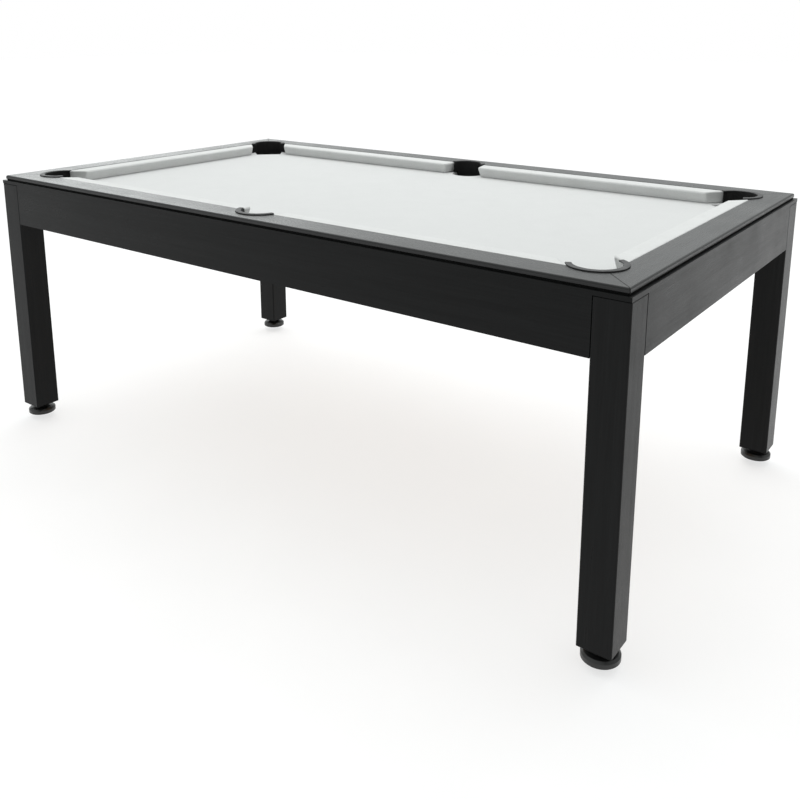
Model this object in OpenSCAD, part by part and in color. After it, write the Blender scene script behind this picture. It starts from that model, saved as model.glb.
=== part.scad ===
// Pool table: four square legs on levelling feet, a panelled cabinet, a cloth-covered bed,
// mitred top rails, six cushions and six drop pockets.
// Origin: centre of the footprint on the floor. +X along the length, +Z up. Millimetres.

/* [Table] */
// Length over the cabinet
table_l = 2134; // [1980:2:2400]
// Width over the cabinet
table_w = 1202; // [1120:2:1330]
// Height of the top rails above the floor
rail_top_z = 816; // [790:1:840]
// Distance from the cabinet's outer face to the cushion nose
field_inset = 135; // [130:1:140]

/* [Legs] */
// Side of a square leg
leg_side = 80; // [76:1:84]
// Radius of a leg's upright edges
leg_edge_r = 4; // [2:0.5:6]
// Height of the leg's lower end above the floor
leg_lift = 31; // [28:1:40]
// Radius of a levelling foot
foot_r = 42.5; // [36:0.5:45]

/* [Cabinet] */
// Height of an apron panel
apron_h = 137; // [130:1:150]
// Thickness of an apron panel
apron_t = 18; // [15:1:18]
// Height of the apron's tongue that runs over the legs
tongue_h = 10; // [8:1:12]
// Height of the shadow gap under the top rails
reveal_h = 3; // [2:0.5:4]

/* [Top rails] */
// How far the rails sit in from the cabinet's outer face
rail_set_in = 8; // [5:0.5:12]
// Width of a top rail
rail_w = 76; // [74:1:78]
// Thickness of a top rail
rail_t = 12; // [10:1:14]
// Height of the rail's top over the bed cloth
nose_drop = 36; // [34:1:38]

/* [Pockets] */
// Inner radius of a pocket collar
collar_r = 52; // [50:0.5:53]
// Width of a collar's ring
collar_w = 14; // [12:0.5:14]
// Thickness of a collar above the rail
collar_t = 3; // [2:0.5:4]
// Distance of a corner pocket's centre from both outer faces
corner_inset = 130; // [129:0.5:131]
// Distance of a side pocket collar's centre from the outer face
side_inset = 104; // [103:0.5:105]

/* [Hidden] */
$fn = 96;

half_l = table_l / 2;
half_w = table_w / 2;

// levels, from the floor up
rail_z = rail_top_z - rail_t;
cabinet_z = rail_z - reveal_h;
tongue_z = cabinet_z - tongue_h;
apron_z = cabinet_z - apron_h;
cloth_t = 1;
bed_t = 18;
cloth_z = rail_top_z - nose_drop;
bed_top_z = cloth_z - cloth_t;
bed_z = bed_top_z - bed_t;
cup_z = apron_z + 8;

// distances from the cabinet's outer faces, going inward
rail_in = rail_set_in + rail_w;
subrail_out = 26;
bed_out = apron_t + 1;
rail_bolt_inset = (subrail_out + rail_in) / 2;

// cut-outs
liner_t = 3;
rail_cut_r = collar_r + liner_t + 0.5;
bed_cut_r = rail_cut_r + 0.5;
corner_throat = 57;
side_cut_shift = 15;
side_cut_inset = side_inset - side_cut_shift;
throat_half_w = 50;
corner_x = half_l - corner_inset;
corner_y = half_w - corner_inset;
side_y = half_w - side_inset;
side_cut_y = half_w - side_cut_inset;

// cushions: how far their ends stand back from the pockets
corner_nose_cut = 82;
corner_rear_cut = 91;
side_nose_cut = 65;
side_rear_cut = 57;
soft_gap = 0.3;

// fittings
stem_r = 5.9;
insert_r = 6;
insert_out_r = 9;
insert_h = 30;
foot_travel = 20;
bracket_t = 3;
bracket_h = 70;
bracket_z = apron_z + 24;
bracket_arm = 50;
bracket_screw_inset = 32;
bolt_r = 4;
bolt_head_r = 6.5;
bolt_head_h = 5.5;
bolt_levels = [12, 44];
bolt_cross_shift = 12;
leg_bolt_inset = 48;
leg_bolt_l = 38;
hex_head_r = 7.5;
washer_r = 11;
washer_t = 1.6;
rail_bolt_grip = 18;
screw_r = 2.2;
screw_l = 15;
screw_head_r = 4.2;
screw_head_h = 2.4;
clearance = 0.25;
ledger_h = 30;
ledger_t = 20;
ledger_gap = 110;
beam_w = 38;
beam_h = 80;
beam_xs = [-640, -240, 240, 640];
cup_wall = 3;
cup_r = rail_cut_r;
cup_flange_r = 66;
cup_flange_t = 3;
cup_screw_r = 1.8;
cup_screw_head_r = 3.2;
cup_screw_head_h = 1.8;
cup_screw_inset = 3.6;
long_bolt_xs = [-790, -430, -140, 140, 430, 790];
short_bolt_ys = [-250, 0, 250];

// ---- placing helpers ----

// four corners: sx and sy are the signs of the corner's coordinates
module at_corner(sx, sy) {
    mirror([sx < 0 ? 1 : 0, 0, 0]) mirror([0, sy < 0 ? 1 : 0, 0]) children();
}

module at_all_corners() {
    for (sx = [-1, 1], sy = [-1, 1]) at_corner(sx, sy) children();
}

module hex(r, h) {
    cylinder(r = r, h = h, $fn = 6);
}

// square with rounded corners, by its own corner and size
module rounded_square(w, h, r) {
    translate([r, 0]) square([w - 2 * r, h]);
    translate([0, r]) square([w, h - 2 * r]);
    for (x = [r, w - r], y = [r, h - r]) translate([x, y]) circle(r = r);
}

// ---- legs and feet ----

// the leg at +X +Y: rounded upright edges, and small chamfers round both ends
module leg() {
    chamfer = 2.5;
    leg_h = tongue_z - leg_lift;
    side_view = [
        [0, chamfer], [chamfer, 0], [leg_side - chamfer, 0], [leg_side, chamfer],
        [leg_side, leg_h - chamfer], [leg_side - chamfer, leg_h],
        [chamfer, leg_h], [0, leg_h - chamfer]
    ];
    translate([half_l - leg_side, half_w - leg_side, leg_lift]) difference() {
        intersection() {
            linear_extrude(leg_h) rounded_square(leg_side, leg_side, leg_edge_r);
            translate([0, leg_side + 1, 0]) rotate([90, 0, 0])
                linear_extrude(leg_side + 2) polygon(side_view);
            translate([-1, 0, 0]) rotate([90, 0, 90])
                linear_extrude(leg_side + 2) polygon(side_view);
        }
        translate([leg_side / 2, leg_side / 2, -1]) {
            cylinder(r = insert_out_r, h = insert_h + 1);
            cylinder(r = insert_r + 1, h = insert_h + foot_travel + 31);
        }
    }
}

module leg_at(sx, sy) {
    color([0.09, 0.09, 0.09]) difference() {
        at_corner(sx, sy) leg();
        at_corner(sx, sy) bolt_holes(bolt_r, leg_bolt_l + 2);
    }
}

// spool-shaped levelling foot with its threaded stem
module foot(sx, sy) {
    neck_r = 14;
    rim_h = 12;
    shoulder_r = foot_r - 5;
    shoulder_z = 17;
    waist_r = 20;
    waist_z = 24;
    top_z = leg_lift - 0.3;
    stem_top = leg_lift + insert_h + 25;
    edge = 1.5;
    profile = [
        [0, 0], [foot_r - edge, 0], [foot_r, edge], [foot_r, rim_h],
        [shoulder_r, shoulder_z], [waist_r + 6, shoulder_z + 2], [waist_r, waist_z],
        [neck_r, top_z - 2], [neck_r, top_z], [stem_r, top_z],
        [stem_r, stem_top - 1], [stem_r - 1, stem_top], [0, stem_top]
    ];
    color([0.04, 0.04, 0.04])
        translate([sx * (half_l - leg_side / 2), sy * (half_w - leg_side / 2), 0])
            rotate_extrude() polygon(profile);
}

// brass sleeves in the leg ends that take the feet
module foot_inserts() {
    color([0.75, 0.6, 0.3]) at_all_corners()
        translate([half_l - leg_side / 2, half_w - leg_side / 2, leg_lift])
            difference() {
                cylinder(r = insert_out_r, h = insert_h);
                translate([0, 0, -1]) cylinder(r = insert_r, h = insert_h + 2);
            }
}

// ---- cabinet ----

// apron on the +Y side for a cabinet of the given half length and half width
module apron(hl, hw) {
    difference() {
        translate([0, hw, 0]) rotate([90, 0, 0]) linear_extrude(apron_t) {
            translate([-hl, tongue_z]) square([2 * hl, tongue_h]);
            translate([-(hl - leg_side), apron_z]) square([2 * (hl - leg_side), apron_h]);
        }
        // mitred ends of the tongue
        for (s = [-1, 1]) mirror([s < 0 ? 1 : 0, 0, 0])
            translate([hl, hw, tongue_z - 1]) linear_extrude(tongue_h + 2)
                polygon([[1, 1], [1, -apron_t - 2], [-apron_t - 2, -apron_t - 2]]);
    }
}

module apron_long(sy) {
    color([0.09, 0.09, 0.09]) difference() {
        mirror([0, sy < 0 ? 1 : 0, 0]) apron(half_l, half_w);
        for (sx = [-1, 1]) at_corner(sx, sy) screw_holes();
    }
}

module apron_end(sx) {
    color([0.09, 0.09, 0.09]) difference() {
        mirror([sx < 0 ? 1 : 0, 0, 0]) rotate([0, 0, -90]) apron(half_w, half_l);
        for (sy = [-1, 1]) at_corner(sx, sy) swap_xy_at_corner() screw_holes();
    }
}

// reflects the +X +Y corner's fittings about its own diagonal
module swap_xy_at_corner() {
    translate([half_l, half_w, 0]) mirror([1, -1, 0]) translate([-half_l, -half_w, 0]) children();
}

// leg bolts run along X at one side of the leg, and along Y at the other side, higher up
module bolt_axes(shift) {
    for (level = bolt_levels)
        translate([
            half_l - leg_side - bracket_t, half_w - leg_bolt_inset, bracket_z + level + shift
        ])
            rotate([0, 90, 0]) children();
}

module bolt_holes(r, depth) {
    bolt_axes(0) cylinder(r = r, h = depth);
    swap_xy_at_corner() bolt_axes(bolt_cross_shift) cylinder(r = r, h = depth);
}

module screw_axes() {
    for (level = bolt_levels)
        translate([
            half_l - leg_side - bracket_screw_inset, half_w - apron_t - bracket_t,
            bracket_z + level
        ])
            rotate([-90, 0, 0]) children();
}

module screw_holes() {
    screw_axes() cylinder(r = screw_r, h = screw_l + 1);
}

// angle plate between the long apron's inner face and the leg's side
module bracket(shift) {
    outer = [half_l - leg_side, half_w - apron_t];
    difference() {
        translate([outer[0] - bracket_arm, outer[1] - bracket_arm, bracket_z])
            linear_extrude(bracket_h) difference() {
                square(bracket_arm);
                translate([-1, -1]) square(bracket_arm - bracket_t + 1);
            }
        bolt_axes(shift) translate([0, 0, -5]) cylinder(r = bolt_r + clearance, h = 12);
        screw_axes() translate([0, 0, -5]) cylinder(r = screw_r + clearance, h = 12);
    }
}

module leg_brackets() {
    color([0.6, 0.61, 0.62]) at_all_corners() {
        bracket(0);
        swap_xy_at_corner() bracket(bolt_cross_shift);
    }
}

module leg_bolt() {
    cylinder(r = bolt_r, h = leg_bolt_l);
    translate([0, 0, -bolt_head_h]) difference() {
        cylinder(r = bolt_head_r, h = bolt_head_h);
        translate([0, 0, -1]) hex(3.2, 4);
    }
}

module leg_bolts() {
    color([0.5, 0.51, 0.52]) at_all_corners() {
        bolt_axes(0) leg_bolt();
        swap_xy_at_corner() bolt_axes(bolt_cross_shift) leg_bolt();
    }
}

module bracket_screw() {
    cylinder(r = screw_r, h = screw_l);
    translate([0, 0, -screw_head_h]) cylinder(r = screw_head_r, h = screw_head_h);
}

module bracket_screws() {
    color([0.5, 0.51, 0.52]) at_all_corners() {
        screw_axes() bracket_screw();
        swap_xy_at_corner() screw_axes() bracket_screw();
    }
}

// battens along the aprons that carry the bed, kept clear of the pocket cups
module bed_ledgers() {
    corner_gap = 150;
    long_len = half_l - corner_gap - ledger_gap;
    end_len = 2 * (half_w - corner_gap);
    color([0.72, 0.58, 0.4]) {
        for (sx = [-1, 1], sy = [-1, 1]) at_corner(sx, sy)
            translate([ledger_gap, half_w - apron_t - ledger_t, bed_z - ledger_h])
                cube([long_len, ledger_t, ledger_h]);
        for (sx = [-1, 1]) at_corner(sx, 1)
            translate([half_l - apron_t - ledger_t, -end_len / 2, bed_z - ledger_h])
                cube([ledger_t, end_len, ledger_h]);
    }
}

module cross_beam(i) {
    beam_l = 2 * (half_w - apron_t - ledger_t);
    color([0.72, 0.58, 0.4]) translate([beam_xs[i] - beam_w / 2, -beam_l / 2, bed_z - beam_h])
        cube([beam_w, beam_l, beam_h]);
}

// ---- bed ----

// plan of one corner cut-out: a round hole with a straight throat towards the table's middle
module corner_hole() {
    translate([corner_x, corner_y]) {
        circle(r = bed_cut_r);
        rotate(45) translate([-corner_throat, -throat_half_w])
            square([corner_throat, 2 * throat_half_w]);
    }
}

module side_hole() {
    translate([0, side_cut_y]) circle(r = bed_cut_r);
}

module bed_plan() {
    notch = leg_side + 1;
    difference() {
        square([2 * (half_l - bed_out), 2 * (half_w - bed_out)], center = true);
        for (sx = [-1, 1], sy = [-1, 1]) at_corner(sx, sy) {
            translate([half_l - notch, half_w - notch]) square(notch + 1);
            corner_hole();
        }
        for (sy = [-1, 1]) at_corner(1, sy) side_hole();
        for (x = long_bolt_xs, s = [-1, 1])
            translate([x, s * (half_w - rail_bolt_inset)]) circle(r = bolt_r + clearance);
        for (y = short_bolt_ys, s = [-1, 1])
            translate([s * (half_l - rail_bolt_inset), y]) circle(r = bolt_r + clearance);
    }
}

module bed_board() {
    color([0.62, 0.5, 0.36]) translate([0, 0, bed_z]) linear_extrude(bed_t) bed_plan();
}

module bed_cloth() {
    color([0.9, 0.91, 0.9]) translate([0, 0, bed_top_z]) linear_extrude(cloth_t) bed_plan();
}

// ---- rails ----

// half-plane wedge that keeps the +Y side's part of a mitred frame
module mitre_wedge(hl, hw, z, h) {
    reach = hw;
    translate([0, 0, z]) linear_extrude(h) polygon([
        [-hl, hw], [hl, hw], [hl - reach, hw - reach], [-hl + reach, hw - reach]
    ]);
}

// round cut-outs for the pockets, as tall as the caller's piece
module pocket_cuts(z, h) {
    for (sx = [-1, 1], sy = [-1, 1])
        translate([sx * corner_x, sy * corner_y, z]) cylinder(r = rail_cut_r, h = h);
    for (sy = [-1, 1]) translate([0, sy * side_y, z]) cylinder(r = rail_cut_r, h = h);
}

// section of a top rail: y runs inward from the outer edge, with a rounded outer edge
module rail_section() {
    top_r = 5;
    foot_r2 = 2;
    translate([top_r, 0]) square([rail_w - top_r, rail_t]);
    translate([0, foot_r2]) square([top_r, rail_t - top_r - foot_r2]);
    translate([foot_r2, 0]) square([top_r, rail_t - top_r]);
    translate([top_r, rail_t - top_r]) circle(r = top_r);
    translate([foot_r2, foot_r2]) circle(r = foot_r2);
}

// top rail on the +Y side of a table of the given half sizes, before the pockets are cut
module rail_blank(hl, hw) {
    intersection() {
        translate([hl, hw - rail_set_in, rail_z]) rotate([90, 0, -90])
            linear_extrude(2 * hl) rail_section();
        mitre_wedge(hl, hw, rail_z - 1, rail_t + 2);
    }
}

module rail_long(sy) {
    color([0.1, 0.1, 0.1]) difference() {
        mirror([0, sy < 0 ? 1 : 0, 0]) rail_blank(half_l, half_w);
        pocket_cuts(rail_z - 1, rail_t + 2);
    }
}

module rail_end(sx) {
    color([0.1, 0.1, 0.1]) difference() {
        mirror([sx < 0 ? 1 : 0, 0, 0]) rotate([0, 0, -90]) rail_blank(half_w, half_l);
        pocket_cuts(rail_z - 1, rail_t + 2);
    }
}

// thin trim that closes the shadow gap between the cabinet and the rails
module shadow_trim() {
    trim_w = 8;
    color([0.02, 0.02, 0.02]) for (side = [0, 1, 2, 3]) {
        along = side % 2 == 0;
        rotate([0, 0, side * 90]) intersection() {
            hl = along ? half_l : half_w;
            hw = along ? half_w : half_l;
            translate([-hl, hw - apron_t, cabinet_z]) cube([2 * hl, trim_w, reveal_h]);
            mitre_wedge(hl, hw, cabinet_z, reveal_h);
        }
    }
}

// wooden block under a rail that carries the cushion
module subrail_blank(hl, hw) {
    end = rail_in + 1.5;
    translate([-(hl - end), hw - rail_in, cloth_z])
        cube([2 * (hl - end), rail_in - subrail_out, rail_z - cloth_z]);
}

module subrail_long(sy) {
    color([0.05, 0.05, 0.05]) difference() {
        mirror([0, sy < 0 ? 1 : 0, 0]) subrail_blank(half_l, half_w);
        pocket_cuts(cloth_z - 1, rail_z - cloth_z + 2);
        for (x = long_bolt_xs)
            translate([x, sy * (half_w - rail_bolt_inset), cloth_z - 1])
                cylinder(r = bolt_r, h = rail_bolt_grip + 1);
    }
}

module subrail_end(sx) {
    color([0.05, 0.05, 0.05]) difference() {
        mirror([sx < 0 ? 1 : 0, 0, 0]) rotate([0, 0, -90]) subrail_blank(half_w, half_l);
        pocket_cuts(cloth_z - 1, rail_z - cloth_z + 2);
        for (y = short_bolt_ys)
            translate([sx * (half_l - rail_bolt_inset), y, cloth_z - 1])
                cylinder(r = bolt_r, h = rail_bolt_grip + 1);
    }
}

module at_rail_bolts() {
    for (x = long_bolt_xs, s = [-1, 1])
        translate([x, s * (half_w - rail_bolt_inset), bed_z]) children();
    for (y = short_bolt_ys, s = [-1, 1])
        translate([s * (half_l - rail_bolt_inset), y, bed_z]) children();
}

module rail_washers() {
    color([0.65, 0.66, 0.67]) at_rail_bolts() translate([0, 0, -washer_t]) difference() {
        cylinder(r = washer_r, h = washer_t);
        translate([0, 0, -1]) cylinder(r = bolt_r + clearance, h = washer_t + 2);
    }
}

module rail_bolts() {
    color([0.5, 0.51, 0.52]) at_rail_bolts() {
        translate([0, 0, -washer_t - bolt_head_h]) hex(hex_head_r, bolt_head_h);
        translate([0, 0, -washer_t])
            cylinder(r = bolt_r, h = washer_t + bed_t + cloth_t + rail_bolt_grip);
    }
}

// ---- cushions ----

// section of a cushion: y runs inward from the rail, with a rounded nose near the top
module cushion_section() {
    reach = field_inset - rail_in;
    nose_r = 4;
    top = rail_top_z - soft_gap;
    low = cloth_z + soft_gap;
    nose_top = rail_top_z - 2;
    translate([reach - nose_r, nose_top - nose_r]) circle(r = nose_r);
    polygon([
        [soft_gap, low], [reach - 9, low], [reach, nose_top - nose_r],
        [reach - nose_r, nose_top], [soft_gap, top]
    ]);
}

// cushion on the +Y side between two pockets, from x0 to x1 at the nose
// and from r0 to r1 at the rail
module cushion_blank(hw, x0, x1, r0, r1) {
    low = cloth_z;
    intersection() {
        translate([x1 + 60, hw - rail_in, 0]) rotate([90, 0, -90])
            linear_extrude(x1 - x0 + 120) cushion_section();
        translate([0, 0, low - 1]) linear_extrude(rail_top_z - low + 2) polygon([
            [x0, hw - field_inset - 0.1], [x1, hw - field_inset - 0.1],
            [r1, hw - rail_in], [r0, hw - rail_in]
        ]);
    }
}

module cushion_long(sx, sy) {
    color([0.88, 0.89, 0.88]) at_corner(sx, sy) cushion_blank(
        half_w, side_nose_cut, half_l - field_inset - corner_nose_cut,
        side_rear_cut, half_l - rail_in - corner_rear_cut
    );
}

module cushion_end(sx) {
    nose = half_w - field_inset - corner_nose_cut;
    rear = half_w - rail_in - corner_rear_cut;
    color([0.88, 0.89, 0.88]) mirror([sx < 0 ? 1 : 0, 0, 0])
        rotate([0, 0, -90]) cushion_blank(half_l, -nose, nose, -rear, rear);
}

// ---- pockets ----

// ring sector, centred on the +X axis of its own frame, with the given half angle
module ring_sector(r0, r1, half_angle) {
    far = 3 * r1;
    difference() {
        circle(r = r1);
        circle(r = r0);
        polygon([
            [0, 0], [-far * cos(180 - half_angle), far * sin(half_angle)],
            [-far, far], [-far, -far],
            [-far * cos(180 - half_angle), -far * sin(half_angle)]
        ]);
    }
}

// places a pocket piece: sx is -1, 0 or 1 and sy -1 or 1. Its local +X points out of the table
module at_pocket(sx, sy) {
    if (sx == 0) translate([0, sy * side_y, 0]) rotate(sy * 90) children();
    else translate([sx * corner_x, sy * corner_y, 0])
        rotate(sy * (sx > 0 ? 45 : 135)) children();
}

// dark ring on the rails' top round a pocket
module collar(sx, sy) {
    half_angle = sx == 0 ? 77 : 106;
    color([0.13, 0.13, 0.13]) at_pocket(sx, sy) translate([0, 0, rail_top_z])
        linear_extrude(collar_t) ring_sector(collar_r, collar_r + collar_w, half_angle);
}

// upright liner behind the pocket's mouth
module liner(sx, sy) {
    half_angle = sx == 0 ? 82 : 92;
    low = bed_z + 1;
    color([0.02, 0.02, 0.02]) at_pocket(sx, sy) translate([0, 0, low])
        linear_extrude(rail_top_z - low) ring_sector(collar_r, collar_r + liner_t, half_angle);
}

// places what hangs under the bed: a side cup's centre is further out than its collar's
module at_cup(sx, sy) {
    if (sx == 0) translate([0, sy * side_cut_y, 0]) children();
    else translate([sx * corner_x, sy * corner_y, 0]) children();
}

// cup under the bed that catches the balls, with a flange screwed to the board
module cup(sx, sy) {
    cup_h = bed_z - cup_z;
    color([0.03, 0.03, 0.03]) at_cup(sx, sy) translate([0, 0, cup_z]) difference() {
        union() {
            cylinder(r = cup_r + cup_wall, h = cup_h);
            translate([0, 0, cup_h - cup_flange_t])
                cylinder(r = cup_flange_r, h = cup_flange_t);
        }
        translate([0, 0, cup_wall]) cylinder(r = cup_r, h = cup_h);
        at_cup_screws() translate([0, 0, cup_h - cup_flange_t - 1])
            cylinder(r = cup_screw_r + clearance, h = cup_flange_t + 2);
    }
}

module at_cup_screws() {
    for (a = [45:90:315]) rotate(a) translate([cup_flange_r - cup_screw_inset, 0, 0]) children();
}

module cup_screws() {
    color([0.4, 0.41, 0.42]) for (sx = [-1, 0, 1], sy = [-1, 1]) at_cup(sx, sy)
        at_cup_screws() translate([0, 0, bed_z - cup_flange_t]) {
            translate([0, 0, -cup_screw_head_h])
                cylinder(r = cup_screw_head_r, h = cup_screw_head_h);
            cylinder(r = cup_screw_r, h = cup_flange_t);
        }
}

leg_at(-1, -1);  // leg_front_left
leg_at(1, -1);  // leg_front_right
leg_at(-1, 1);  // leg_back_left
leg_at(1, 1);  // leg_back_right
foot(-1, -1);  // foot_front_left
foot(1, -1);  // foot_front_right
foot(-1, 1);  // foot_back_left
foot(1, 1);  // foot_back_right
foot_inserts();
apron_long(-1);  // apron_front
apron_long(1);  // apron_back
apron_end(-1);  // apron_left
apron_end(1);  // apron_right
leg_brackets();
leg_bolts();
bracket_screws();
bed_ledgers();
cross_beam(0);  // cross_beam_1
cross_beam(1);  // cross_beam_2
cross_beam(2);  // cross_beam_3
cross_beam(3);  // cross_beam_4
bed_board();
bed_cloth();
shadow_trim();
subrail_long(-1);  // subrail_front
subrail_long(1);  // subrail_back
subrail_end(-1);  // subrail_left
subrail_end(1);  // subrail_right
rail_long(-1);  // rail_front
rail_long(1);  // rail_back
rail_end(-1);  // rail_left
rail_end(1);  // rail_right
rail_bolts();
rail_washers();
cushion_long(-1, -1);  // cushion_front_left
cushion_long(1, -1);  // cushion_front_right
cushion_long(-1, 1);  // cushion_back_left
cushion_long(1, 1);  // cushion_back_right
cushion_end(-1);  // cushion_left
cushion_end(1);  // cushion_right
collar(-1, -1);  // collar_front_left
collar(0, -1);  // collar_front_middle
collar(1, -1);  // collar_front_right
collar(-1, 1);  // collar_back_left
collar(0, 1);  // collar_back_middle
collar(1, 1);  // collar_back_right
liner(-1, -1);  // liner_front_left
liner(0, -1);  // liner_front_middle
liner(1, -1);  // liner_front_right
liner(-1, 1);  // liner_back_left
liner(0, 1);  // liner_back_middle
liner(1, 1);  // liner_back_right
cup(-1, -1);  // cup_front_left
cup(0, -1);  // cup_front_middle
cup(1, -1);  // cup_front_right
cup(-1, 1);  // cup_back_left
cup(0, 1);  // cup_back_middle
cup(1, 1);  // cup_back_right
cup_screws();
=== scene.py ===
import math

import bmesh
import bpy
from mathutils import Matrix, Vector, geometry, noise


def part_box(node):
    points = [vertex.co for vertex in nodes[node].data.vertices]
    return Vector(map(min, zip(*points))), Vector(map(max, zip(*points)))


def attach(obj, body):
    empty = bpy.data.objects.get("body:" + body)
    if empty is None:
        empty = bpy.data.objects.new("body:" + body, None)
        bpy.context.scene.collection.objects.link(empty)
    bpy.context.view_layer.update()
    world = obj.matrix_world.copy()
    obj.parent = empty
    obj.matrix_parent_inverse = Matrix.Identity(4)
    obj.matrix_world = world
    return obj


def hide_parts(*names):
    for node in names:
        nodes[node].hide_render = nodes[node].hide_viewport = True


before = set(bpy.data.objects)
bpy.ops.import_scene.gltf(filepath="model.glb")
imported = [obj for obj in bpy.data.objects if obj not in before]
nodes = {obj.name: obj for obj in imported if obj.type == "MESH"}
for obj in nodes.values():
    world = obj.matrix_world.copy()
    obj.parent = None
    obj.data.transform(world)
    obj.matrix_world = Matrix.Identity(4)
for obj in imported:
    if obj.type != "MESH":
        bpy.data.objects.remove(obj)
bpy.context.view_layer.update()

MM = 0.001
# each pocket as (side, end); its nodes' names end in _end_side
POCKETS = [(a, b) for b in ("front", "back") for a in ("left", "middle", "right")]


def clamp(value):
    """The value held between 0 and 1."""
    return max(0.0, min(1.0, value))


# ---------------------------------------------------------------- materials


class Shader:
    """One material's node tree, built by short calls. space is the piece's own coordinates, in metres."""

    def __init__(self, name):
        self.material = bpy.data.materials.new(name)
        self.material.use_nodes = True
        self.tree = self.material.node_tree
        self.tree.nodes.clear()
        out = self.node("OutputMaterial")
        self.bsdf = self.node("BsdfPrincipled")
        self.tree.links.new(self.bsdf.outputs["BSDF"], out.inputs["Surface"])
        self.space = self.node("TexCoord").outputs["Object"]

    def node(self, kind, **props):
        made = self.tree.nodes.new("ShaderNode" + kind)
        for key, value in props.items():
            setattr(made, key, value)
        return made

    def put(self, socket, value):
        """Link a socket to the input, or set the input to a value."""
        if isinstance(value, bpy.types.NodeSocket):
            self.tree.links.new(value, socket)
        else:
            socket.default_value = value

    def scaled(self, x, y, z, turn=(0, 0, 0)):
        n = self.node("Mapping")
        self.put(n.inputs["Vector"], self.space)
        n.inputs["Rotation"].default_value = turn
        n.inputs["Scale"].default_value = (x, y, z)
        return n.outputs["Vector"]

    def grain(self, along, run, across):
        """Space scaled by run along the grain's axis and by across over the other two."""
        return self.scaled(*[run if axis == along else across for axis in "xyz"])

    def noise(self, vector, scale=1.0, detail=3.0, rough=0.55, distortion=0.0):
        n = self.node("TexNoise")
        self.put(n.inputs["Vector"], vector)
        n.inputs["Scale"].default_value = scale
        n.inputs["Detail"].default_value = detail
        n.inputs["Roughness"].default_value = rough
        n.inputs["Distortion"].default_value = distortion
        return n.outputs[0]

    def bands(self, vector, direction, scale):
        n = self.node("TexWave", wave_type="BANDS", bands_direction=direction)
        self.put(n.inputs["Vector"], vector)
        n.inputs["Scale"].default_value = scale
        return n.outputs["Fac"]

    def cells(self, vector, scale):
        n = self.node("TexVoronoi")
        self.put(n.inputs["Vector"], vector)
        n.inputs["Scale"].default_value = scale
        return n.outputs["Distance"]

    def calc(self, operation, a, b=0.0, c=0.0):
        n = self.node("Math", operation=operation)
        for socket, value in zip(n.inputs, (a, b, c)):
            self.put(socket, value)
        return n.outputs[0]

    def weighted(self, first, *others):
        """The sum of (value, weight) pairs."""
        out = self.calc("MULTIPLY", *first)
        for value, weight in others:
            out = self.calc("MULTIPLY_ADD", value, weight, out)
        return out

    def fit(self, value, a, b, low, high):
        """value's range a to b, spread over low to high and held there."""
        n = self.node("MapRange")
        self.put(n.inputs["Value"], value)
        for key, number in (("From Min", a), ("From Max", b), ("To Min", low), ("To Max", high)):
            n.inputs[key].default_value = number
        return n.outputs["Result"]

    def ramp(self, value, *stops):
        n = self.node("ValToRGB")
        self.put(n.inputs["Fac"], value)
        bar = n.color_ramp.elements
        while len(bar) < len(stops):
            bar.new(0.5)
        for stop, (at, colour) in zip(bar, stops):
            stop.position = at
            stop.color = (*colour, 1)
        return n.outputs["Color"]

    def mixed(self, amount, a, b):
        """The linked colour a, turning to the plain colour b as amount goes from 0 to 1."""
        n = self.node("Mix", data_type="RGBA")
        self.put(n.inputs[0], amount)
        self.put(n.inputs[6], a)
        n.inputs[7].default_value = (*b, 1)
        return n.outputs[2]

    def bump(self, height, strength, distance, normal=None):
        n = self.node("Bump")
        n.inputs["Strength"].default_value = strength
        n.inputs["Distance"].default_value = distance
        self.put(n.inputs["Height"], height)
        if normal is not None:
            self.put(n.inputs["Normal"], normal)
        return n.outputs["Normal"]

    def finish(self, colour=None, rough=None, normal=None, **fixed):
        """Set the shader's inputs and return the material. fixed holds plain values, by input name."""
        for key, value in (("Base Color", colour), ("Roughness", rough), ("Normal", normal)):
            if value is not None:
                self.put(self.bsdf.inputs[key], value)
        for key, value in fixed.items():
            title = key.replace("_", " ").title().replace("Ior", "IOR")
            self.bsdf.inputs[title].default_value = value
        return self.material


# the dark line of a mitre joint: from its middle it is full up to SEAM_CORE, and it ends at SEAM_EDGE
SEAM_DARK = (0.0012, 0.0012, 0.0012)
SEAM_CORE = 0.8 * MM
SEAM_EDGE = 1.5 * MM
SEAM_DEPTH = 1.2 * MM


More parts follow.
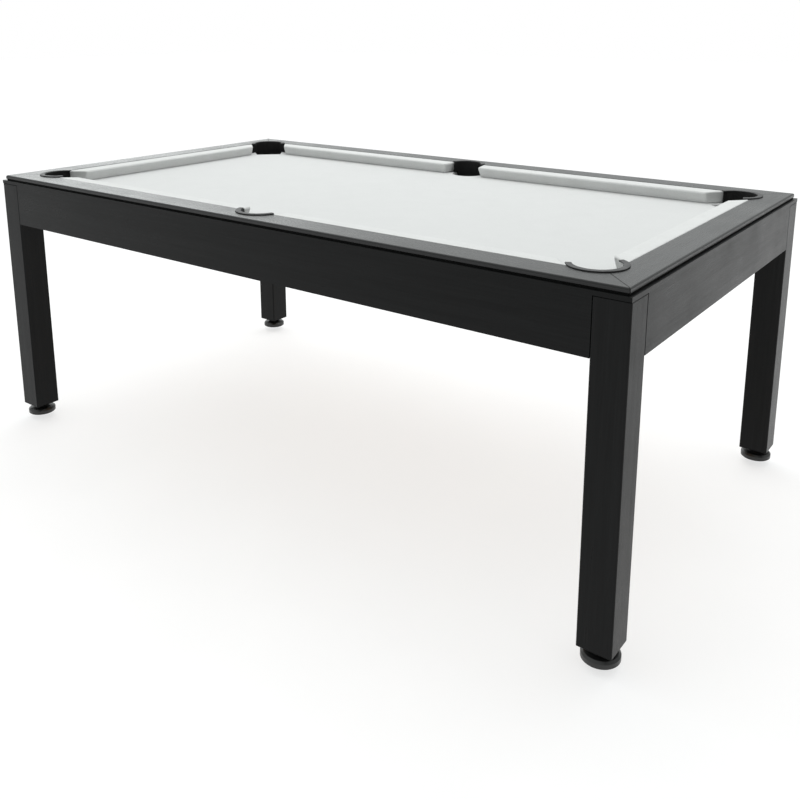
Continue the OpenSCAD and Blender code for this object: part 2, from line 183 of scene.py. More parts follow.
def laminate(name, along, dark, light, rough, level, mitre=None):
    """Black wood-grain laminate, its grain along one axis. mitre is |x| - |y| along the corner joints."""
    s = Shader(name)
    fibre = s.noise(s.grain(along, 9, 420), detail=5, rough=0.65)
    streak = s.noise(s.grain(along, 1.3, 60), detail=3, distortion=0.5)
    figure = s.noise(s.grain(along, 0.6, 11), detail=2, distortion=1.4)
    pores = s.fit(s.noise(s.grain(along, 60, 1300), detail=2), 0.56, 0.7, 0, 1)
    smear = s.noise(s.space, scale=7, detail=3)
    tone = s.weighted((streak, 0.32), (fibre, 0.5), (figure, 0.2), (pores, -0.12))
    middle = [(a + b) / 2 for a, b in zip(dark, light)]
    colour = s.ramp(tone, (0.36, dark), (0.52, middle), (0.66, light))
    worn = s.fit(tone, 0.35, 0.65, rough + 0.05, rough - 0.04)
    roughness = s.calc("ADD", worn, s.fit(smear, 0.3, 0.7, -0.03, 0.04))
    height = s.calc("MULTIPLY_ADD", pores, -0.7, fibre)
    normal = s.bump(height, 0.35, 0.00025)
    if mitre is not None:
        split = s.node("SeparateXYZ")
        s.put(split.inputs[0], s.space)
        x, y = (s.calc("ABSOLUTE", split.outputs[k]) for k in "XY")
        away = s.calc("ABSOLUTE", s.calc("SUBTRACT", s.calc("SUBTRACT", x, y), mitre))
        seam = s.fit(away, SEAM_CORE, SEAM_EDGE, 1, 0)
        colour = s.mixed(seam, colour, SEAM_DARK)
        roughness = s.calc("MULTIPLY_ADD", seam, 0.6, roughness)
        normal = s.bump(seam, 1.0, -SEAM_DEPTH, normal)
    return s.finish(colour, roughness, normal, specular_ior_level=level, ior=1.5)


def woven(name, base, mottle, pulls=0.0):
    """Napped billiard cloth: a fine twill under short fibres. pulls adds faint tension lines over it."""
    s = Shader(name)
    twist = s.noise(s.space, scale=260, detail=2)
    warp = s.bands(s.scaled(1, 1, 1, (0, 0, math.radians(33))), "X", 270)
    weft = s.bands(s.scaled(1, 1, 1, (0, math.radians(8), math.radians(-52))), "Y", 300)
    thread = s.calc("MULTIPLY", warp, weft)
    nap = s.noise(s.space, scale=1500, detail=3, rough=0.7)
    patch = s.noise(s.space, scale=16, detail=4, rough=0.6)
    height = s.weighted((twist, 0.4), (thread, 0.5), (nap, 0.8))
    shade = s.weighted((patch, 0.3), (thread, 0.15), (twist, 0.35), (nap, 0.25))
    low = [c * (1 - mottle) for c in base]
    high = [min(1, c * (1 + mottle * 0.6)) for c in base]
    normal = s.bump(height, 0.3, 0.00035)
    if pulls:
        creases = s.noise(s.scaled(38, 38, 7), detail=2, distortion=0.8)
        normal = s.bump(creases, pulls, 0.004, normal)
    return s.finish(
        s.ramp(shade, (0.3, low), (0.5, base), (0.72, high)),
        s.fit(nap, 0.3, 0.7, 0.86, 0.97),
        normal,
        sheen_weight=0.25,
        sheen_roughness=0.45,
        specular_ior_level=0.25,
    )


def moulded(name, dark, light, rough, grain=900, depth=0.00012, level=0.5):
    """Moulded plastic or rubber with a fine spark-eroded texture and faint rubbing."""
    s = Shader(name)
    texture = s.noise(s.space, scale=grain, detail=3, rough=0.6)
    pits = s.cells(s.space, grain * 0.8)
    rub = s.noise(s.space, scale=28, detail=4, rough=0.65)
    height = s.calc("MULTIPLY_ADD", pits, 0.5, texture)
    return s.finish(
        s.ramp(s.weighted((rub, 0.65), (texture, 0.35)), (0.35, dark), (0.68, light)),
        s.fit(rub, 0.3, 0.7, rough + 0.06, rough - 0.06),
        s.bump(height, 0.3, depth),
        specular_ior_level=level,
    )


def zinc(name, dark, light, rough=0.36, brushed=(30, 30, 700)):
    """Plated metal with spangle, brushing and a few dull spots."""
    s = Shader(name)
    spangle = s.cells(s.space, 240)
    lines = s.noise(s.scaled(*brushed), detail=3)
    dull = s.noise(s.space, scale=45, detail=4)
    patchy = s.fit(dull, 0.3, 0.7, rough - 0.08, rough + 0.14)
    return s.finish(
        s.ramp(s.weighted((dull, 0.6), (spangle, 0.5)), (0.25, dark), (0.7, light)),
        s.calc("ADD", patchy, s.fit(lines, 0.3, 0.7, -0.05, 0.05)),
        s.bump(lines, 0.25, 0.00008),
        metallic=1.0,
    )


def softwood(name, along, dark, light):
    """Planed softwood: bands of early and late wood, fine fibres and a few resin lines."""
    s = Shader(name)
    rings = s.noise(s.grain(along, 0.9, 75), detail=2, distortion=1.8)
    fibre = s.noise(s.grain(along, 14, 900), detail=4, rough=0.7)
    resin = s.fit(s.noise(s.grain(along, 22, 420), detail=1), 0.64, 0.72, 0, 1)
    tone = s.weighted((rings, 0.7), (fibre, 0.35), (resin, -0.12))
    middle = [(a + 2 * b) / 3 for a, b in zip(dark, light)]
    return s.finish(
        s.ramp(tone, (0.34, dark), (0.5, middle), (0.68, light)),
        s.fit(fibre, 0.3, 0.7, 0.58, 0.74),
        s.bump(fibre, 0.4, 0.0003),
        specular_ior_level=0.35,
    )


def fibreboard(name, dark, light):
    """Raw pressed fibreboard: short pale and dark fibres, matt."""
    s = Shader(name)
    chips = s.noise(s.scaled(240, 420, 420), detail=4, rough=0.7)
    dust = s.noise(s.space, scale=1300, detail=2)
    cloud = s.noise(s.space, scale=9, detail=3)
    return s.finish(
        s.ramp(s.weighted((cloud, 0.25), (dust, 0.3), (chips, 0.45)), (0.36, dark), (0.64, light)),
        s.fit(dust, 0.3, 0.7, 0.78, 0.92),
        s.bump(chips, 0.3, 0.0002),
        specular_ior_level=0.25,
    )


# one black laminate in two copies set for the light, not two finishes: the legs' and aprons' tones are darker
# with a low specular level, as painted shade on their faces; the rails' tones are lighter with a higher
# level, as a painted sheen on their tops
SHADED_BLACK_DARK, SHADED_BLACK_LIGHT = (0.0026, 0.0028, 0.0029), (0.0076, 0.008, 0.0082)
RAIL_LIT_DARK, RAIL_LIT_LIGHT = (0.0055, 0.0058, 0.006), (0.0155, 0.016, 0.0165)
PINE_DARK, PINE_LIGHT = (0.36, 0.2, 0.09), (0.66, 0.46, 0.26)
PAINT_DARK, PAINT_LIGHT = (0.008, 0.008, 0.008), (0.024, 0.023, 0.022)
# |x| - |y| all along the mitres, which start at the rails' inner corners and run at 45 degrees
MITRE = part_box("rail_right")[0].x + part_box("rail_front")[1].y


def along_axes(axes, make, name, *settings):
    """One material per grain axis, as {axis: material}."""
    return {axis: make(f"{name}_{axis}", axis, *settings) for axis in axes}


# the legs' and aprons' darker, less glossy copy of the laminate is painted shade; the rails' lighter,
# glossier copy is a painted sheen
SHADED_LAMINATE = along_axes("xyz", laminate, "laminate", SHADED_BLACK_DARK, SHADED_BLACK_LIGHT, 0.31, 0.13)
LIT_RAIL_LAMINATE = along_axes("xy", laminate, "rail_laminate", RAIL_LIT_DARK, RAIL_LIT_LIGHT, 0.27, 0.36, MITRE)
WOOD = along_axes("xy", softwood, "softwood", PINE_DARK, PINE_LIGHT)
BLOCK = along_axes("xy", softwood, "painted_wood", PAINT_DARK, PAINT_LIGHT)
BED_CLOTH = woven("bed_cloth_weave", (0.6, 0.605, 0.6), 0.055)
CUSHION_CLOTH = woven("cushion_cloth_weave", (0.63, 0.635, 0.628), 0.1, pulls=0.4)
COLLAR = moulded("collar_moulded", (0.016, 0.016, 0.017), (0.03, 0.03, 0.031), 0.5, depth=0.00015, level=0.4)
LINER = moulded("liner_moulded", (0.004, 0.004, 0.004), (0.009, 0.009, 0.009), 0.62, grain=700, level=0.3)
CUP = moulded("cup_moulded", (0.007, 0.007, 0.007), (0.016, 0.016, 0.016), 0.5, grain=600)
FOOT = moulded("foot_moulded", (0.005, 0.005, 0.005), (0.014, 0.014, 0.014), 0.4, grain=800)
# near-black strips that fill the shadow gap between the rails and the aprons: painted shade, as the gap's
# darkness is shade
SHADOW_GAP_BLACK = moulded("shadow_gap_black_moulded", (0.002, 0.002, 0.002), (0.005, 0.005, 0.005), 0.8, level=0.2)
STEEL = zinc("plate_zinc", (0.4, 0.41, 0.42), (0.62, 0.63, 0.65))
BOLTS = zinc("bolt_zinc", (0.32, 0.33, 0.34), (0.52, 0.53, 0.54), 0.32, (400, 400, 400))
WASHERS = zinc("washer_zinc", (0.42, 0.43, 0.44), (0.64, 0.65, 0.67), 0.3, (500, 500, 60))
BRASS = zinc("brass_turned", (0.5, 0.33, 0.12), (0.74, 0.54, 0.24), 0.28, (60, 60, 1200))
BOARD = fibreboard("fibreboard_raw", (0.3, 0.19, 0.1), (0.5, 0.35, 0.2))

AXIS_OF_SIDE = {"front": "x", "back": "x", "left": "y", "right": "y"}
FINISH_OF_NODE = {
    "leg_brackets": STEEL,
    "leg_bolts": BOLTS,
    "bracket_screws": BOLTS,
    "rail_bolts": BOLTS,
    "cup_screws": BOLTS,
    "rail_washers": WASHERS,
    "foot_inserts": BRASS,
    "bed_ledgers": WOOD["x"],
    "bed_board": BOARD,
    "bed_cloth": BED_CLOTH,
    "shadow_trim": SHADOW_GAP_BLACK,
}
FINISH_OF_FAMILY = {
    "leg": SHADED_LAMINATE["z"],
    "cross": WOOD["y"],
    "foot": FOOT,
    "cushion": CUSHION_CLOTH,
    "collar": COLLAR,
    "liner": LINER,
    "cup": CUP,
}
GRAINED_FAMILY = {"apron": SHADED_LAMINATE, "rail": LIT_RAIL_LAMINATE, "subrail": BLOCK}


def finish_of(name):
    """A CAD node's material: its own, or its family's, with the grain along a side's length."""
    family, _, side = name.partition("_")
    if name in FINISH_OF_NODE:
        return FINISH_OF_NODE[name]
    if family in GRAINED_FAMILY:
        return GRAINED_FAMILY[family][AXIS_OF_SIDE[side]]
    return FINISH_OF_FAMILY[family]


for name, obj in nodes.items():
    if not obj.material_slots:
        obj.data.materials.append(finish_of(name))
    for held in obj.material_slots:
        held.material = finish_of(name)


# ---------------------------------------------------------------- mesh tools


def add_piece(name, verts, faces, material, body="table", smooth=math.radians(35)):
    """A mesh piece that rides on a CAD body."""
    mesh = bpy.data.meshes.new(name)
    mesh.from_pydata([tuple(v) for v in verts], [], faces)
    mesh.validate()
    work = bmesh.new()
    work.from_mesh(mesh)
    bmesh.ops.recalc_face_normals(work, faces=work.faces)
    work.to_mesh(mesh)
    work.free()
    mesh.materials.append(material)
    obj = bpy.data.objects.new(name, mesh)
    bpy.context.scene.collection.objects.link(obj)
    mesh.shade_smooth()
    mesh.set_sharp_from_angle(angle=smooth)
    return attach(obj, body)


def skin(rings):
    """Faces over closed rings of one length, with each end filled by a fan round its middle."""
    verts = [v for ring in rings for v in ring]
    n = len(rings[0])
    faces = []
    for k in range(len(rings) - 1):
        a, b = k * n, (k + 1) * n
        faces += [(a + i, a + (i + 1) % n, b + (i + 1) % n, b + i) for i in range(n)]
    for first in (0, (len(rings) - 1) * n):
        ring = verts[first : first + n]
        verts.append(sum((Vector(v) for v in ring), Vector()) / n)
        hub = len(verts) - 1
        faces += [(first + i, first + (i + 1) % n, hub) for i in range(n)]
    return verts, faces


def rounded(corners, steps=5):
    """A closed outline with each corner (x, y, radius) rounded off."""
    out = []
    n = len(corners)
    for i, (x, y, r) in enumerate(corners):
        here = Vector((x, y))
        if r <= 0:
            out.append(here)
            continue
        to_a = (Vector(corners[i - 1][:2]) - here).normalized()
        to_b = (Vector(corners[(i + 1) % n][:2]) - here).normalized()
        half = to_a.angle(to_b) / 2
        back = r / math.tan(half)
        centre = here + (to_a + to_b).normalized() * (r / math.sin(half))
        start, stop = here + to_a * back - centre, here + to_b * back - centre
        turn = start.angle_signed(stop)
        for k in range(steps + 1):
            a = -turn * k / steps
            c, s = math.cos(a), math.sin(a)
            out.append(centre + Vector((c * start.x - s * start.y, s * start.x + c * start.y)))
    return out


def spaced(outline, gap):
    """The closed outline with extra points, so that none are further apart than gap."""
    out = []
    for i, a in enumerate(outline):
        b = outline[(i + 1) % len(outline)]
        n = max(1, math.ceil((b - a).length / gap))
        out += [a.lerp(b, k / n) for k in range(n)]
    return out


def offset(line, by):
    """The closed line moved sideways, outward when by is positive."""
    out = []
    n = len(line)
    area = sum(a.x * b.y - b.x * a.y for a, b in zip(line, line[1:] + line[:1]))
    turn = 1 if area > 0 else -1
    for i, p in enumerate(line):
        run = line[(i + 1) % n] - line[i - 1]
        normal = Vector((run.y, -run.x)).normalized() * turn
        out.append(p + normal * by)
    return out


def is_inside(p, loop):
    """Whether a flat point lies inside a closed line."""
    found = False
    for a, b in zip(loop, loop[1:] + loop[:1]):
        if (a.y > p.y) != (b.y > p.y) and p.x < (b.x - a.x) * (p.y - a.y) / (b.y - a.y) + a.x:
            found = not found
    return found


def arc(radius, degrees, step):
    """An arc from the first axis, as (u, w) pairs."""
    n = math.ceil(degrees / step)
    angles = [math.radians(degrees * k / n) for k in range(n + 1)]
    return [(radius * math.cos(a), radius * math.sin(a)) for a in angles]


def curved(points, steps=4):
    """A smooth curve through the points (Catmull-Rom)."""
    out = []
    last = len(points) - 1
    for i in range(last):
        p0, p1, p2, p3 = (Vector(points[max(0, min(last, i + k))]) for k in (-1, 0, 1, 2))
        slope, bend = p2 - p0, 2 * p0 - 5 * p1 + 4 * p2 - p3
        twist = 3 * p1 - p0 - 3 * p2 + p3
        for t in (k / steps for k in range(steps)):
            out.append(0.5 * (2 * p1 + slope * t + bend * t * t + twist * t**3))
    return [tuple(v) for v in out] + [tuple(points[-1])]


# ---------------------------------------------------------------- cushions

# length of the facings, from a cushion's rear corner to its nose
FACING = {"side": 8 * MM, "corner": 42 * MM}
# a cushion's end is at a side pocket when it is nearer than this to the table's middle
SIDE_POCKET_REACH = 0.2
FACING_GAP = 0.4 * MM
FACING_UNDERCUT = 7 * MM
FOLD = 7.5 * MM
FOLD_STEPS = 6
RING_GAP = 7 * MM
# how far the tight cloth stands off the front face, in slow waves and, near the facings, in finer ones
SLOW_BULGE = 0.28 * MM
FINE_BULGE = 0.22 * MM
FINE_REACH = 50 * MM
TOP_RIPPLE = 0.1 * MM


def cushion_outline():
    """Section of a wrapped cushion: x runs from the rail towards the play, y is height, in metres."""
    low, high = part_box("cushion_front_left")
    reach = high.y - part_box("rail_front")[1].y
    bottom, top = low.z, high.z
    back_foot = (0.6 * MM, bottom, 0.8 * MM)
    front_foot = (reach - 9.2 * MM, bottom, 3 * MM)
    nose = (reach - 0.2 * MM, top - 6.2 * MM, 4.2 * MM)
    nose_top = (reach - 4.2 * MM, top - 1.9 * MM, 4 * MM)
    rail_side = (3.6 * MM, top, 4 * MM)
    tuck = (0.5 * MM, top - 2.6 * MM, 1.2 * MM)
    corners = [back_foot, front_foot, nose, nose_top, rail_side, tuck]
    return spaced(rounded(corners), 4 * MM), reach, bottom, top


def cushion(node):
    """A wrapped cushion in its CAD solid's place, with folded ends and faint tension in its cloth."""
    outline, reach, bottom, top = cushion_outline()
    low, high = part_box(node)
    mid = (low + high) / 2
    lengthwise = high.x - low.x > high.y - low.y
    if lengthwise:
        side = math.copysign(1, mid.y)
        rail_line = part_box("rail_back")[0].y if side > 0 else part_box("rail_front")[1].y
        start, stop = low.x, high.x
    else:
        side = math.copysign(1, mid.x)
        rail_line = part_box("rail_right")[0].x if side > 0 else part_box("rail_left")[1].x
        start, stop = low.y, high.y

    def place(v, u, z):
        """v runs along the rail, u from it towards the play."""
        across = rail_line - side * u
        return Vector((v, across, z)) if lengthwise else Vector((across, v, z))

    def facing(v):
        return FACING["side" if abs(v) < SIDE_POCKET_REACH else "corner"]

    def bulge(v, p, height, from_end):
        """The front face's swelling at a point, which dies out towards its upper and lower edge."""
        slow = noise.noise(Vector((v * 46, height * 0.9, side * 3 + mid.x))) * SLOW_BULGE
        fine = noise.noise(Vector((v * 120, height * 1.5, 7))) * FINE_BULGE * math.exp(-from_end / FINE_REACH)
        on_face = clamp((p.x / reach - 0.55) / 0.35) * math.sin(math.pi * min(1, height * 0.95 + 0.03))
        return (slow + fine) * on_face

    def ripple(v, p, height):
        """The flat top's unevenness at a point."""
        if height <= 0.9 or p.x <= 6 * MM:
            return 0.0
        return (noise.noise(Vector((v * 9, p.x * 20, 4 + mid.y))) - 0.5) * TOP_RIPPLE

    def ring(setback, share, shift):
        """One section: share runs 0 to 1 between the facings, and setback shrinks it for the folded edge."""
        made = []
        centre_z = (bottom + top) / 2
        for p in outline:
            height = (p.y - bottom) / (top - bottom)
            back = FACING_GAP + FACING_UNDERCUT * (1 - height) ** 1.3
            a = start + facing(start) * p.x / reach + back
            b = stop - facing(stop) * p.x / reach - back
            v = a + (b - a) * share + shift
            u = p.x * (1 - setback / reach) + bulge(v, p, height, min(v - a, b - v))
            z = centre_z + (p.y - centre_z) * (1 - 1.6 * setback / (top - bottom))
            made.append(place(v, u, z + ripple(v, p, height)))
        return made

    turns = [math.pi / 2 * k / FOLD_STEPS for k in range(FOLD_STEPS + 1)]
    folds = [(FOLD * (1 - math.sin(t)), FOLD * (1 - math.cos(t))) for t in turns]
    run = round((stop - start) / RING_GAP)
    rings = [ring(setback, 0, shift) for setback, shift in folds]
    rings += [ring(0, i / run, 0) for i in range(1, run)]
    rings += [ring(setback, 1, -shift) for setback, shift in reversed(folds)]
    made = add_piece(node + "_wrapped", *skin(rings), CUSHION_CLOTH, smooth=math.radians(50))
    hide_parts(node)


for node in sorted(n for n in nodes if n.startswith("cushion_")):
    cushion(node)


# ---------------------------------------------------------------- pockets

# a pocket's plan is in millimetres from its centre: u out of the table, w to one side
LINER_OUTER_R = 55
LINER_WALL = 3
LINER_R = LINER_OUTER_R - LINER_WALL / 2
# half thicknesses of a liner's wall, from its tip inwards
LINER_TIP = (0.45, 0.8, 1.05, 1.2, 1.35, 1.45)
# the wall's middle line from its middle to one end: round the pocket, then out along the cushion's facing
LINER_LINE = {
    "side": arc(LINER_R, 52, 13) + [(28.2, 45.4), (22.8, 48.6), (17.4, 51.2), (12.0, 53.2), (6.8, 54.4)],
    "corner": arc(LINER_R, 66, 13) + [(16.2, 51.1), (9.8, 53.6), (3.0, 57.4), (-4.5, 60.3), (-13, 60.8)],
}
# past this w the wall's lower edge rises from inside the board's hole to the top of the cloth
LINER_STEP = {"side": 47.5, "corner": 47.8}
LINER_STEP_RUN = 2.5
COLLAR_INNER_R, COLLAR_OUTER_R = 52, 66
COLLAR_HALF_ANGLE = {"side": math.radians(77), "corner": math.radians(106)}
COLLAR_END_R = 2.4
COLLAR_RINGS = 40


def kind_of(side):
    return "side" if side == "middle" else "corner"


def middle_of(name):
    low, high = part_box(name)
    return (low + high) / 2


def pocket_frame(side, end):
    """A pocket's centre, and its unit directions out of the table (u) and to one side (w)."""
    if side == "middle":
        sign = 1 if end == "back" else -1
        low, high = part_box(f"liner_{end}_middle")
        edge = high.y if sign > 0 else low.y
        centre = Vector((0, edge - sign * LINER_OUTER_R * MM))
        out = Vector((0, sign))
    else:
        cup = middle_of(f"cup_{end}_{side}")
        centre = Vector((cup.x, cup.y))
        out = Vector((math.copysign(1, cup.x), math.copysign(1, cup.y))).normalized()
    return centre, out, Vector((-out.y, out.x))


def to_world(place, u, w, z):
    """A point of a pocket's plan, at a height in metres. place is what pocket_frame returns."""
    centre, out, across = place
    flat = centre + out * (u * MM) + across * (w * MM)
    return Vector((flat.x, flat.y, z))


def liner(side, end):
    """A moulded pocket liner: a wall round the back of the pocket whose ends flare against the cushions."""
    node = f"liner_{end}_{side}"
    low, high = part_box(node)
    cloth_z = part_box("bed_cloth")[1].z + 0.6 * MM
    place = pocket_frame(side, end)
    kind = kind_of(side)
    half_line = curved(LINER_LINE[kind])
    line = [(u, -w) for u, w in reversed(half_line[1:])] + half_line
    rings = []
    last = len(line) - 1
    for i, (u, w) in enumerate(line):
        run = (Vector(line[min(last, i + 1)]) - Vector(line[max(0, i - 1)])).normalized()
        normal = Vector((run.y, -run.x))
        tip = min(i, last - i)
        half = LINER_TIP[tip] if tip < len(LINER_TIP) else LINER_WALL / 2
        raised = clamp((abs(w) - LINER_STEP[kind]) / LINER_STEP_RUN)
        bottom = low.z + (cloth_z - low.z) * raised
        top = high.z - (1.6 if tip == 0 else 0.4) * MM
        middle = (bottom + top) / 2
        section = [
            (-half * 0.45, bottom),
            (half * 0.45, bottom),
            (half, bottom + 0.8 * MM),
            (half, middle),
            (half, top - 1.2 * MM),
            (half * 0.5, top - 0.3 * MM),
            (-half * 0.4, top),
            (-half, top - 1.0 * MM),
            (-half, middle),
            (-half, bottom + 0.8 * MM),
        ]
        rings.append([to_world(place, u + normal.x * d, w + normal.y * d, z) for d, z in section])
    made = add_piece(node + "_moulded", *skin(rings), LINER)
    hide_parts(node)


def collar(side, end):
    """A flat moulded ring on the rails round a pocket, open to the play, with rounded edges and ends."""
    node = f"collar_{end}_{side}"
    low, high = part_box(node)
    place = pocket_frame(side, end)
    base, top = low.z + 0.1 * MM, high.z
    middle_r = (COLLAR_INNER_R + COLLAR_OUTER_R) / 2
    half = COLLAR_HALF_ANGLE[kind_of(side)]

    def rounding(turn):
        """A section's angle, and how far it is narrowed on either side, over the rounding of an end."""
        return half - COLLAR_END_R * (1 - math.cos(turn)) / middle_r, COLLAR_END_R * (1 - math.sin(turn))

    tip = [rounding(math.pi / 8 * k) for k in range(5)]
    body = [(tip[-1][0] * (1 - 2 * k / COLLAR_RINGS), 0) for k in range(1, COLLAR_RINGS)]
    rings = []
    for angle, trim in tip + body + [(-a, t) for a, t in reversed(tip)]:
        width = COLLAR_OUTER_R - COLLAR_INNER_R - 2 * trim
        crown = top - 0.3 * MM * trim / COLLAR_END_R
        section = [
            (0.2, base),
            (0, base + 0.6 * MM),
            (0, crown - 1.1 * MM),
            (0.35, crown - 0.35 * MM),
            (1.0, crown - 0.1 * MM),
            (width * 0.5, crown),
            (width - 1.3, crown - 0.1 * MM),
            (width - 0.45, crown - 0.45 * MM),
            (width, crown - 1.3 * MM),
            (width, base + 0.5 * MM),
            (width - 0.2, base),
        ]
        radii = [(COLLAR_INNER_R + trim + d, z) for d, z in section]
        rings.append([to_world(place, r * math.cos(angle), r * math.sin(angle), z) for r, z in radii])
    made = add_piece(node + "_moulded", *skin(rings), COLLAR)
    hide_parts(node)


for side, end in POCKETS:
    liner(side, end)
    collar(side, end)


# ---------------------------------------------------------------- bed cloth

# the board's hole is this much smaller in radius than the cup below it
CUP_FLANGE = 10 * MM
HOLE_POINTS = 96
# a corner's hole runs into a straight mouth: half its width, how far in it ends and its corners' radius
MOUTH_HALF = 50
MOUTH_END = -57
MOUTH_CORNER = 5
# the cloth's turn into a hole dies out over TURN_FADE before these u, for its inward and its downward part
TURN_END = {"side": (20, 20), "corner": (17, 34)}
TURN_FADE = 6
LEAST_INWARD = {"side": 0.0, "corner": 0.3}
TURN_R = 2.2 * MM
TURN_DOWN = 18.2 * MM
# a share of the downward turn below which there is none
UNTURNED = 0.02
LEG_GAP = 1.2 * MM
# spacing of the cloth's points: over its flat part, along its edge, and away from a hole's middle
CLOTH_GRID = 60 * MM
EDGE_GRID = 50 * MM
HOLE_CLEAR = 85 * MM


def hole_line(side, end):
    """Edge of the board's hole at a pocket, and each point's shares of the turn inward and down."""
    cup = middle_of(f"cup_{end}_{side}")
    low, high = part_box(f"cup_{end}_{side}")
    _, out, across = pocket_frame(side, end)
    kind = kind_of(side)
    radius = ((high.x - low.x) / 2 - CUP_FLANGE) / MM
    if kind == "side":
        angles = [math.tau * k / HOLE_POINTS for k in range(HOLE_POINTS)]
        line = [Vector((radius * math.cos(a), radius * math.sin(a))) for a in angles]
    else:
        meet = math.degrees(math.acos(-math.sqrt(radius**2 - MOUTH_HALF**2) / radius))
        half_arc = arc(radius, meet, 4)
        join = half_arc[-1][0]
        mouth = rounded(
            [
                (join, MOUTH_HALF, 0),
                (MOUTH_END, MOUTH_HALF, MOUTH_CORNER),
                (MOUTH_END, -MOUTH_HALF, MOUTH_CORNER),
                (join, -MOUTH_HALF, 0),
            ]
        )
        line = [Vector(p) for p in half_arc]
        line += [p for p in spaced(mouth, 6) if p.x < join - 0.5 and abs(p.y) <= MOUTH_HALF + 0.01]
        line += [Vector((u, -w)) for u, w in reversed(half_arc[1:])]
    inward_end, down_end = TURN_END[kind]
    inward = [max(LEAST_INWARD[kind], clamp((inward_end - p.x) / TURN_FADE)) for p in line]
    down = [clamp((down_end - p.x) / TURN_FADE) for p in line]
    centre = Vector((cup.x, cup.y))
    return centre, [centre + out * (p.x * MM) + across * (p.y * MM) for p in line], inward, down


def cloth_outline(half_x, half_y):
    """The cloth's edge, notched round the legs, and the x where its notches start."""
    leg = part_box("leg_back_right")[0]
    notch_x, notch_y = leg.x - LEG_GAP, leg.y - LEG_GAP
    quarter = [Vector((half_x, notch_y)), Vector((notch_x, notch_y)), Vector((notch_x, half_y))]
    outline = quarter + [Vector((-p.x, p.y)) for p in reversed(quarter)]
    outline += [-p for p in quarter] + [Vector((p.x, -p.y)) for p in reversed(quarter)]
    return spaced(outline, EDGE_GRID), notch_x


def flat_cloth(outline, holes, inner, z):
    """The cloth's flat part, triangulated on a grid between its edge and the holes."""
    points, segments = [], []
    for loop in [outline] + [hole["support"] for hole in holes]:
        first = len(points)
        points += [Vector((p.x, p.y)) for p in loop]
        segments += [(first + i, first + (i + 1) % len(loop)) for i in range(len(loop))]
    columns, rows = math.ceil(inner.x / CLOTH_GRID), math.ceil(inner.y / CLOTH_GRID)
    for i in range(-columns, columns + 1):
        for j in range(-rows, rows + 1):
            p = Vector((i * CLOTH_GRID, j * CLOTH_GRID))
            clear = all((p - hole["centre"]).length > HOLE_CLEAR for hole in holes)
            if abs(p.x) < inner.x and abs(p.y) < inner.y and clear:
                points.append(p)
    flat, _, cells, *_ = geometry.delaunay_2d_cdt(points, segments, [], 0, 1e-7)
    faces = []
    for cell in cells:
        mid = sum((flat[i] for i in cell), Vector((0, 0))) / len(cell)
        if is_inside(mid, outline) and not any(is_inside(mid, hole["support"]) for hole in holes):
            faces.append(tuple(cell))
    return [Vector((p.x, p.y, z)) for p in flat], faces


def turned_edge(hole, z, first):
    """Points and faces of the cloth turned down over a hole's edge. first is the first point's index."""
    turns = [math.pi / 12 * k for k in range(7)]
    levels = [(TURN_R * math.sin(a), TURN_R * (1 - math.cos(a))) for a in turns]
    levels += [(TURN_R, TURN_R + 4 * MM), (TURN_R, TURN_R + 10 * MM), (TURN_R, TURN_DOWN)]
    edge, inward, down = hole["edge"], hole["inward"], hole["down"]
    n = len(edge)
    rows = [[Vector((p.x, p.y, z)) for p in hole["support"]]]
    for into, drop in levels:
        moved = offset(edge, -into)
        row = []
        # the inward turn is whole once the downward one is a quarter of it
        for here, there, i, d in zip(edge, moved, inward, down):
            row.append(Vector((*here.lerp(there, i * min(1, d * 4)), z - drop * d)))
        rows.append(row)
    faces = []
    for k in range(len(rows) - 1):
        for i in range(n):
            j = (i + 1) % n
            # where the cloth isn't turned it has only its first, flat row
            if k > 0 and max(down[i], down[j]) < UNTURNED:
                continue
            a, b = first + k * n, first + (k + 1) * n
            faces.append((a + i, a + j, b + j, b + i))
    return [p for row in rows for p in row], faces


def clean_sheet(mesh):
    """Weld the sheet's parts, drop loose points and face it upwards."""
    work = bmesh.new()
    work.from_mesh(mesh)
    bmesh.ops.remove_doubles(work, verts=work.verts, dist=0.00002)
    bmesh.ops.delete(work, geom=[v for v in work.verts if not v.link_faces], context="VERTS")
    bmesh.ops.recalc_face_normals(work, faces=work.faces)
    if sum(f.normal.z * f.calc_area() for f in work.faces) < 0:
        bmesh.ops.reverse_faces(work, faces=work.faces)
    work.to_mesh(mesh)
    work.free()


def bed_cloth():
    """The stretched cloth: one sheet over the board, turned down into the pocket mouths."""
    low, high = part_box("bed_cloth")
    edge_gap, inner_gap = 0.4 * MM, 0.02
    half_x, half_y = high.x - edge_gap, high.y - edge_gap
    outline, notch_x = cloth_outline(half_x, half_y)
    holes = []
    for side, end in POCKETS:
        centre, edge, inward, down = hole_line(side, end)
        support = offset(edge, 1.6 * MM)
        holes.append({"centre": centre, "edge": edge, "support": support, "inward": inward, "down": down})
    inner = Vector((notch_x - inner_gap, half_y - inner_gap))
    verts, faces = flat_cloth(outline, holes, inner, high.z)
    for hole in holes:
        more_verts, more_faces = turned_edge(hole, high.z, len(verts))
        verts += more_verts
        faces += more_faces
    made = add_piece("bed_cloth_stretched", verts, faces, BED_CLOTH, smooth=math.radians(60))
    clean_sheet(made.data)
    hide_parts("bed_cloth")


bed_cloth()


# ---------------------------------------------------------------- studio

# low enough for the levelling feet at the end of their travel
FLOOR_Z = -0.0205
FLOOR_HALF = 30
CAMERA_PLACE = (1.6712, -2.1245, 1.2930)
CAMERA_DOWN, CAMERA_TURN = 0.2195, 0.6416
CAMERA_LENS = 40.41
CAMERA_SHIFT = -0.22


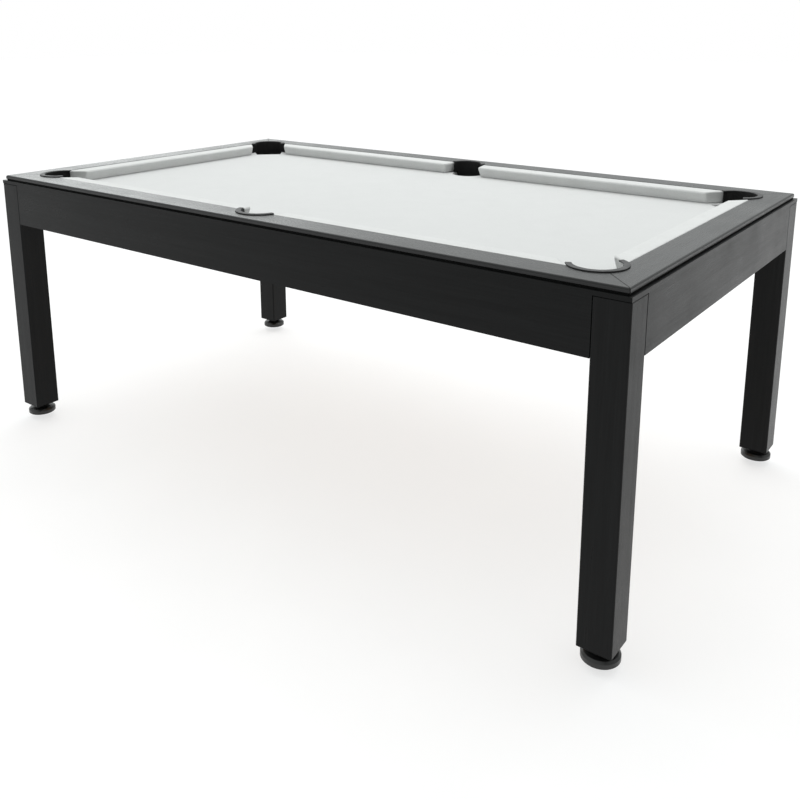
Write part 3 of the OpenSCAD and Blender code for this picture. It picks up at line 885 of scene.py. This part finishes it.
def studio_floor():
    shader = Shader("studio_floor")
    speck = shader.noise(shader.space, scale=3, detail=3)
    shader.finish(
        shader.ramp(speck, (0.3, (0.38, 0.38, 0.38)), (0.7, (0.4, 0.4, 0.4))),
        0.9,
        specular_ior_level=0.05,
        emission_color=(1, 1, 1, 1),
        emission_strength=0.66,
    )
    mesh = bpy.data.meshes.new("studio_floor")
    signs = ((-1, -1), (1, -1), (1, 1), (-1, 1))
    mesh.from_pydata([(x * FLOOR_HALF, y * FLOOR_HALF, FLOOR_Z) for x, y in signs], [], [(0, 1, 2, 3)])
    mesh.materials.append(shader.material)
    ground = bpy.data.objects.new("studio_floor", mesh)
    bpy.context.scene.collection.objects.link(ground)


def studio_world():
    """Soft light, stronger from above, the back and the left. The camera itself sees plain white."""
    world = bpy.data.worlds.new("studio_world")
    bpy.context.scene.world = world
    world.use_nodes = True
    tree = world.node_tree
    tree.nodes.clear()

    def make(kind):
        return tree.nodes.new("ShaderNode" + kind)

    def spread(socket, a, b, low, high):
        n = make("MapRange")
        n.interpolation_type = "SMOOTHSTEP"
        tree.links.new(socket, n.inputs["Value"])
        for key, number in (("From Min", a), ("From Max", b), ("To Min", low), ("To Max", high)):
            n.inputs[key].default_value = number
        return n.outputs["Result"]

    def total(first, *others):
        out = first
        for socket in others:
            add = make("Math")
            add.operation = "ADD"
            tree.links.new(out, add.inputs[0])
            tree.links.new(socket, add.inputs[1])
            out = add.outputs[0]
        return out

    where, split = make("TexCoord"), make("SeparateXYZ")
    direction = where.outputs["Generated"]
    tree.links.new(direction, split.inputs[0])

    def towards(x, y):
        dot = make("VectorMath")
        dot.operation = "DOT_PRODUCT"
        tree.links.new(direction, dot.inputs[0])
        dot.inputs[1].default_value = (x, y, 0)
        return dot.outputs["Value"]

    # the last part is a bright panel low on the left, which the rails reflect
    level = total(
        spread(split.outputs["Z"], 0.0, 0.9, 0.0, 0.72),
        spread(split.outputs["Y"], -0.3, 0.6, 0.5, 0.82),
        spread(split.outputs["X"], -0.8, 0.8, 0.24, -0.26),
        spread(towards(-0.9, 0.436), 0.86, 0.99, 0.0, 1.5),
    )
    lit, seen = make("Background"), make("Background")
    swap, path, out = make("MixShader"), make("LightPath"), make("OutputWorld")
    tree.links.new(level, lit.inputs["Strength"])
    lit.inputs["Color"].default_value = (0.785, 0.81, 0.806, 1)
    seen.inputs["Strength"].default_value = 1.0
    seen.inputs["Color"].default_value = (1, 1, 1, 1)
    tree.links.new(path.outputs["Is Camera Ray"], swap.inputs["Fac"])
    tree.links.new(lit.outputs[0], swap.inputs[1])
    tree.links.new(seen.outputs[0], swap.inputs[2])
    tree.links.new(swap.outputs[0], out.inputs["Surface"])


def top_softbox():
    data = bpy.data.lights.new("top_softbox", "AREA")
    data.shape = "RECTANGLE"
    data.size, data.size_y = 4.5, 3.5
    data.energy = 60
    place, aim = Vector((-0.6, 1.2, 3.6)), Vector((0, 0, 0.8))
    light = bpy.data.objects.new("top_softbox", data)
    light.location = place
    light.rotation_euler = (aim - place).to_track_quat("-Z", "Y").to_euler()
    bpy.context.scene.collection.objects.link(light)


def camera():
    data = bpy.data.cameras.new("camera")
    data.sensor_width = 36
    data.lens = CAMERA_LENS
    data.shift_y = CAMERA_SHIFT
    data.clip_end = 100
    made = bpy.data.objects.new("camera", data)
    made.location = CAMERA_PLACE
    made.rotation_euler = (math.pi / 2 - CAMERA_DOWN, 0, CAMERA_TURN)
    bpy.context.scene.collection.objects.link(made)
    bpy.context.scene.camera = made


bpy.context.scene.view_settings.view_transform = "Standard"
studio_floor()
studio_world()
top_softbox()
camera()
